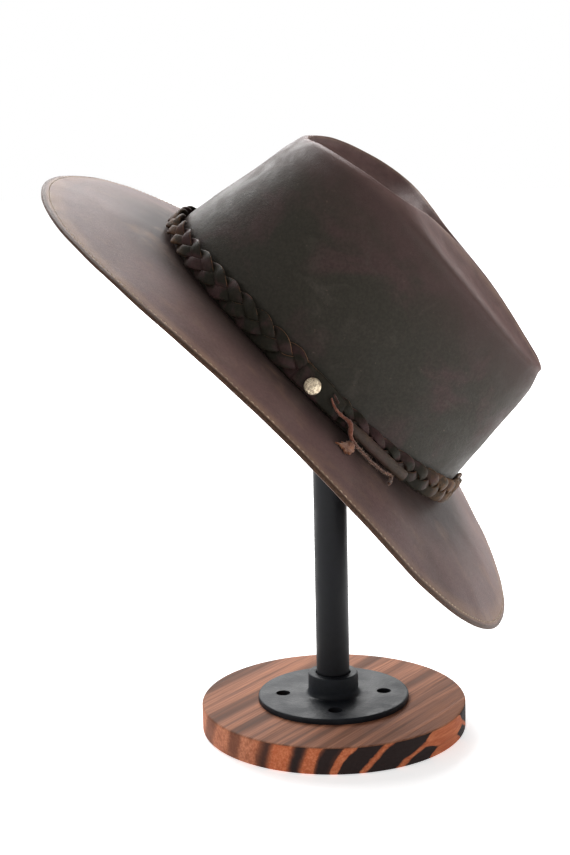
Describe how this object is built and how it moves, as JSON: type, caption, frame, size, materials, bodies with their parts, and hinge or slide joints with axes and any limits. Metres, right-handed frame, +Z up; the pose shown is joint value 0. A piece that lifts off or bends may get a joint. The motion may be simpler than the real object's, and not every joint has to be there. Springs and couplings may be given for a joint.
{
  "type": "leather fedora on a pipe hat stand",
  "caption": "Leather fedora with a pinched teardrop crown and a braided band, resting tilted on an iron pipe stand with a round wooden base.",
  "frame": {"origin": "centre of the wooden base's underside", "axes": "+Z up along the pipe, +X to the side that the hat's front points to, +Y away from the side with the band's tab"},
  "size_m": [0.2707, 0.32, 0.3402],
  "materials": {
    "crown_leather": "oiled, satin, mottled",
    "brim_leather": "oiled, satin, worn at the edge",
    "band_leather": "satin",
    "suede": "matt suede",
    "rivet_metal": "hammered, satin",
    "wood": "charred and oiled",
    "iron": "black satin"
  },
  "bodies": {
    "root": {"crown": "crown_leather", "brim": "brim_leather", "braid_strand_1": "band_leather", "braid_strand_2": "band_leather", "braid_strand_3": "band_leather", "band_keeper": "band_leather", "rivet": "rivet_metal", "strap_tail": "band_leather", "lace": "suede", "lace_tag": "suede", "wood_base": "wood", "floor_flange": "iron", "pipe": "iron"}
  },
  "joints": []
}
